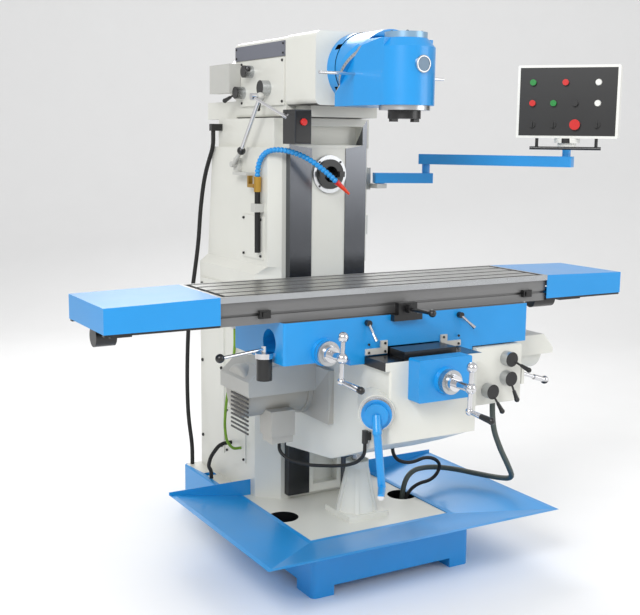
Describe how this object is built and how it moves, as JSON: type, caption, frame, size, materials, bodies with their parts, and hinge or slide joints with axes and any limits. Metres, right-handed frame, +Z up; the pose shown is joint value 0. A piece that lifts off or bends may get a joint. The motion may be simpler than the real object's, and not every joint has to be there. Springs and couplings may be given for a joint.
{
  "type": "knee milling machine",
  "caption": "Knee-type milling machine: swivelling vertical head on a sliding ram, horizontal spindle in the column, power-fed table, and a control pendant on a jointed arm.",
  "frame": {"origin": "centre of the foundation bolt pattern, on the floor under the front of the column's guideways", "axes": "+X to the operator's right, -Y to the operator's side, +Z up"},
  "size_m": [2.373, 2.0102, 2.258],
  "materials": {
    "base_enamel": "satin machine enamel",
    "tray_enamel": "satin sheet enamel",
    "column_enamel": "satin machine enamel",
    "fittings_enamel": "satin enamel",
    "stand_enamel": "satin machine enamel",
    "coolant_pipe": "pipe with brass valve",
    "coolant_hose_blue": "ball-jointed segments",
    "floor_conduit_black": "ribbed",
    "column_conduit_black": "ribbed",
    "switch_arm_chrome": "plated",
    "knee_hose_grey": "ribbed",
    "earth_hose_green": "striped sheath",
    "knee_cable_black": "matt",
    "knee_enamel": "satin machine enamel",
    "way_cover_black": "matt sheet",
    "gearbox_enamel": "satin machine enamel",
    "motor_enamel": "satin enamel",
    "cross_box_enamel": "satin machine enamel",
    "motor_cable_black": "matt",
    "saddle_enamel": "satin machine enamel",
    "saddle_trim": "satin enamel",
    "table_iron": "milled and scraped",
    "cover_enamel": "satin sheet enamel",
    "end_black": "black enamel",
    "ram_enamel": "satin machine enamel",
    "ram_motor_enamel": "satin enamel",
    "panel_grey": "satin enamel",
    "drum_enamel": "satin machine enamel",
    "head_enamel": "satin machine enamel",
    "head_trim_steel": "turned",
    "pendant_enamel": "satin enamel with grey panel",
    "pendant_trim_black": "black bar, white lamps",
    "spindle_steel": "ground",
    "horizontal_steel": "ground",
    "table_crank_chrome": "polished",
    "cross_crank_chrome": "polished",
    "elevating_crank_steel": "turned",
    "feed_dial_upper_steel": "turned hub, black knob",
    "feed_dial_middle_steel": "turned hub, black knob",
    "feed_dial_lower_steel": "turned hub, black knob",
    "shift_dial_upper_steel": "turned hub, black knob",
    "shift_dial_lower_steel": "turned hub, black knob",
    "shift_dial_front_steel": "turned hub, black knob",
    "rapid_lever_black": "knob on steel bar",
    "clamp_left_steel": "oiled",
    "clamp_right_steel": "oiled",
    "feed_lever_steel": "oiled",
    "pump_lever_steel": "plated",
    "lower_arm_enamel": "satin enamel",
    "upper_arm_enamel": "satin enamel",
    "switch_box_grey": "moulded",
    "button_green_upper": "moulded",
    "button_red_upper": "moulded",
    "button_red_lower": "moulded",
    "button_green_lower": "moulded",
    "button_black": "moulded",
    "stop_button_red": "moulded",
    "selector_left_black": "moulded",
    "selector_middle_black": "moulded",
    "selector_right_black": "moulded"
  },
  "bodies": {
    "frame": {"base_casting": "base_enamel", "chip_tray": "tray_enamel", "column_casting": "column_enamel", "column_fittings": "fittings_enamel", "elevating_stand": "stand_enamel", "coolant_line": "coolant_pipe", "coolant_hose": "coolant_hose_blue", "floor_conduit": "floor_conduit_black", "column_conduit": "column_conduit_black", "switch_arm": "switch_arm_chrome", "knee_hose": "knee_hose_grey", "earth_hose": "earth_hose_green", "knee_cable": "knee_cable_black"},
    "knee": {"knee_casting": "knee_enamel", "knee_way_covers": "way_cover_black", "feed_gearbox": "gearbox_enamel", "knee_motor": "motor_enamel", "cross_feed_box": "cross_box_enamel", "motor_cable": "motor_cable_black"},
    "saddle": {"saddle_casting": "saddle_enamel", "saddle_fittings": "saddle_trim"},
    "table": {"table_slab": "table_iron", "table_covers": "cover_enamel", "table_end_parts": "end_black"},
    "ram": {"ram_casting": "ram_enamel", "ram_motor": "ram_motor_enamel", "shift_panel": "panel_grey"},
    "head_drum": {"head_drum": "drum_enamel"},
    "head": {"head_body": "head_enamel", "head_trim": "head_trim_steel"},
    "pendant": {"pendant_box": "pendant_enamel", "pendant_trim": "pendant_trim_black"},
    "vertical_spindle": {"vertical_spindle": "spindle_steel"},
    "horizontal_spindle": {"horizontal_spindle": "horizontal_steel"},
    "table_crank": {"table_crank": "table_crank_chrome"},
    "cross_crank": {"cross_crank": "cross_crank_chrome"},
    "elevating_crank": {"elevating_crank": "elevating_crank_steel"},
    "feed_dial_upper": {"feed_dial_upper": "feed_dial_upper_steel"},
    "feed_dial_middle": {"feed_dial_middle": "feed_dial_middle_steel"},
    "feed_dial_lower": {"feed_dial_lower": "feed_dial_lower_steel"},
    "shift_dial_upper": {"shift_dial_upper": "shift_dial_upper_steel"},
    "shift_dial_lower": {"shift_dial_lower": "shift_dial_lower_steel"},
    "shift_dial_front": {"shift_dial_front": "shift_dial_front_steel"},
    "rapid_lever": {"rapid_lever": "rapid_lever_black"},
    "saddle_clamp_left": {"saddle_clamp_left": "clamp_left_steel"},
    "saddle_clamp_right": {"saddle_clamp_right": "clamp_right_steel"},
    "table_feed_lever": {"table_feed_lever": "feed_lever_steel"},
    "pump_lever": {"pump_lever": "pump_lever_steel"},
    "pendant_lower_arm": {"pendant_lower_arm": "lower_arm_enamel"},
    "pendant_upper_arm": {"pendant_upper_arm": "upper_arm_enamel"},
    "switch_box": {"switch_box": "switch_box_grey"},
    "button_green_upper": {"button_green_upper": "button_green_upper"},
    "button_red_upper": {"button_red_upper": "button_red_upper"},
    "button_red_lower": {"button_red_lower": "button_red_lower"},
    "button_green_lower": {"button_green_lower": "button_green_lower"},
    "button_black": {"button_black": "button_black"},
    "stop_button": {"stop_button": "stop_button_red"},
    "selector_left": {"selector_left": "selector_left_black"},
    "selector_middle": {"selector_middle": "selector_middle_black"},
    "selector_right": {"selector_right": "selector_right_black"}
  },
  "joints": [
    {"name": "knee_lift", "type": "slide", "parent": "frame", "child": "knee", "axis": [0, 0, 1], "range_m": [0, 0.37]},
    {"name": "saddle_cross", "type": "slide", "parent": "knee", "child": "saddle", "axis": [0, 1, 0], "range_m": [-0.14, 0.1]},
    {"name": "table_traverse", "type": "slide", "parent": "saddle", "child": "table", "axis": [1, 0, 0], "range_m": [-0.17, 0.55]},
    {"name": "ram_slide", "type": "slide", "parent": "frame", "child": "ram", "axis": [0, 1, 0], "range_m": [-0.05, 0.25]},
    {"name": "drum_swivel", "type": "hinge", "parent": "ram", "child": "head_drum", "pos_m": [0, -0.226, 2.1], "axis": [0, 1, 0], "range_deg": [-45, 45]},
    {"name": "head_swivel", "type": "hinge", "parent": "head_drum", "child": "head", "pos_m": [0, -0.36, 2.095], "axis": [0, -0.7071, -0.7071], "range_deg": [-45, 45]},
    {"name": "vertical_spindle_spin", "type": "hinge", "parent": "head", "child": "vertical_spindle", "pos_m": [0, -0.575, 1.898], "axis": [0, 0, 1], "continuous": true},
    {"name": "horizontal_spindle_spin", "type": "hinge", "parent": "frame", "child": "horizontal_spindle", "pos_m": [0, -0.02, 1.666], "axis": [0, 1, 0], "continuous": true},
    {"name": "table_crank_turn", "type": "hinge", "parent": "saddle", "child": "table_crank", "pos_m": [-0.407, -0.688, 1.029], "axis": [0, -1, 0], "continuous": true},
    {"name": "cross_crank_turn", "type": "hinge", "parent": "knee", "child": "cross_crank", "pos_m": [0, -0.909, 0.922], "axis": [0, -1, 0], "continuous": true},
    {"name": "elevating_crank_turn", "type": "hinge", "parent": "knee", "child": "elevating_crank", "pos_m": [-0.248, -0.801, 0.803], "axis": [-0.5736, -0.8192, 0], "range_deg": [-105, 105]},
    {"name": "feed_dial_upper_turn", "type": "hinge", "parent": "knee", "child": "feed_dial_upper", "pos_m": [0.454, -0.697, 0.93], "axis": [0, -1, 0], "range_deg": [-15, 60]},
    {"name": "feed_dial_middle_turn", "type": "hinge", "parent": "knee", "child": "feed_dial_middle", "pos_m": [0.454, -0.697, 0.848], "axis": [0, -1, 0], "range_deg": [-25, 40]},
    {"name": "feed_dial_lower_turn", "type": "hinge", "parent": "knee", "child": "feed_dial_lower", "pos_m": [0.36, -0.697, 0.803], "axis": [0, -1, 0], "range_deg": [-40, 20]},
    {"name": "shift_dial_upper_turn", "type": "hinge", "parent": "ram", "child": "shift_dial_upper", "pos_m": [-0.206, 0.345, 2.111], "axis": [-1, 0, 0], "range_deg": [-30, 30]},
    {"name": "shift_dial_lower_turn", "type": "hinge", "parent": "ram", "child": "shift_dial_lower", "pos_m": [-0.206, 0.43, 2.021], "axis": [-1, 0, 0], "range_deg": [0, 40]},
    {"name": "shift_dial_front_turn", "type": "hinge", "parent": "ram", "child": "shift_dial_front", "pos_m": [-0.206, 0.185, 2.034], "axis": [-1, 0, 0], "range_deg": [-35, 35]},
    {"name": "rapid_lever_turn", "type": "hinge", "parent": "knee", "child": "rapid_lever", "pos_m": [0.5543, -0.66, 0.85], "axis": [1, 0, 0], "range_deg": [-40, 40]},
    {"name": "saddle_clamp_left_turn", "type": "hinge", "parent": "saddle", "child": "saddle_clamp_left", "pos_m": [-0.219, -0.676, 1.126], "axis": [0, -1, 0], "range_deg": [-50, 35]},
    {"name": "saddle_clamp_right_turn", "type": "hinge", "parent": "saddle", "child": "saddle_clamp_right", "pos_m": [0.219, -0.676, 1.126], "axis": [0, -1, 0], "range_deg": [-50, 35]},
    {"name": "table_feed_lever_turn", "type": "hinge", "parent": "saddle", "child": "table_feed_lever", "pos_m": [-0.045, -0.7023, 1.172], "axis": [0, -1, 0], "range_deg": [-25, 25]},
    {"name": "pump_lever_turn", "type": "hinge", "parent": "saddle", "child": "pump_lever", "pos_m": [-0.614, -0.59, 1.0303], "axis": [0, 0, 1], "range_deg": [-35, 35]},
    {"name": "pendant_base_swing", "type": "hinge", "parent": "frame", "child": "pendant_lower_arm", "pos_m": [0.312, 0.07, 1.64], "axis": [0, 0, 1], "range_deg": [-10, 50]},
    {"name": "pendant_elbow_swing", "type": "hinge", "parent": "pendant_lower_arm", "child": "pendant_upper_arm", "pos_m": [0.519, 0, 1.708], "axis": [0, 0, 1], "range_deg": [-15, 60]},
    {"name": "pendant_turn", "type": "hinge", "parent": "pendant_upper_arm", "child": "pendant", "pos_m": [0.87, -0.55, 1.796], "axis": [0, 0, 1], "range_deg": [-60, 60]},
    {"name": "switch_box_swing", "type": "hinge", "parent": "frame", "child": "switch_box", "pos_m": [-0.306, 0.06, 1.99], "axis": [0, 0, 1], "range_deg": [-40, 0]},
    {"name": "button_green_upper_press", "type": "slide", "parent": "pendant", "child": "button_green_upper", "axis": [0.766, 0.6428, 0], "range_m": [0, 0.004], "stiffness_N_per_m": 900},
    {"name": "button_red_upper_press", "type": "slide", "parent": "pendant", "child": "button_red_upper", "axis": [0.766, 0.6428, 0], "range_m": [0, 0.004], "stiffness_N_per_m": 900},
    {"name": "button_red_lower_press", "type": "slide", "parent": "pendant", "child": "button_red_lower", "axis": [0.766, 0.6428, 0], "range_m": [0, 0.004], "stiffness_N_per_m": 900},
    {"name": "button_green_lower_press", "type": "slide", "parent": "pendant", "child": "button_green_lower", "axis": [0.766, 0.6428, 0], "range_m": [0, 0.004], "stiffness_N_per_m": 900},
    {"name": "button_black_press", "type": "slide", "parent": "pendant", "child": "button_black", "axis": [0.766, 0.6428, 0], "range_m": [0, 0.004], "stiffness_N_per_m": 900},
    {"name": "stop_button_press", "type": "slide", "parent": "pendant", "child": "stop_button", "axis": [0.766, 0.6428, 0], "range_m": [0, 0.004], "stiffness_N_per_m": 900},
    {"name": "selector_left_turn", "type": "hinge", "parent": "pendant", "child": "selector_left", "pos_m": [0.74104, -0.46632, 1.89], "axis": [-0.766, -0.6428, 0], "range_deg": [-45, 45]},
    {"name": "selector_middle_turn", "type": "hinge", "parent": "pendant", "child": "selector_middle", "pos_m": [0.79825, -0.53449, 1.89], "axis": [-0.766, -0.6428, 0], "range_deg": [-45, 45]},
    {"name": "selector_right_turn", "type": "hinge", "parent": "pendant", "child": "selector_right", "pos_m": [0.91652, -0.67545, 1.89], "axis": [-0.766, -0.6428, 0], "range_deg": [-45, 45]}
  ]
}
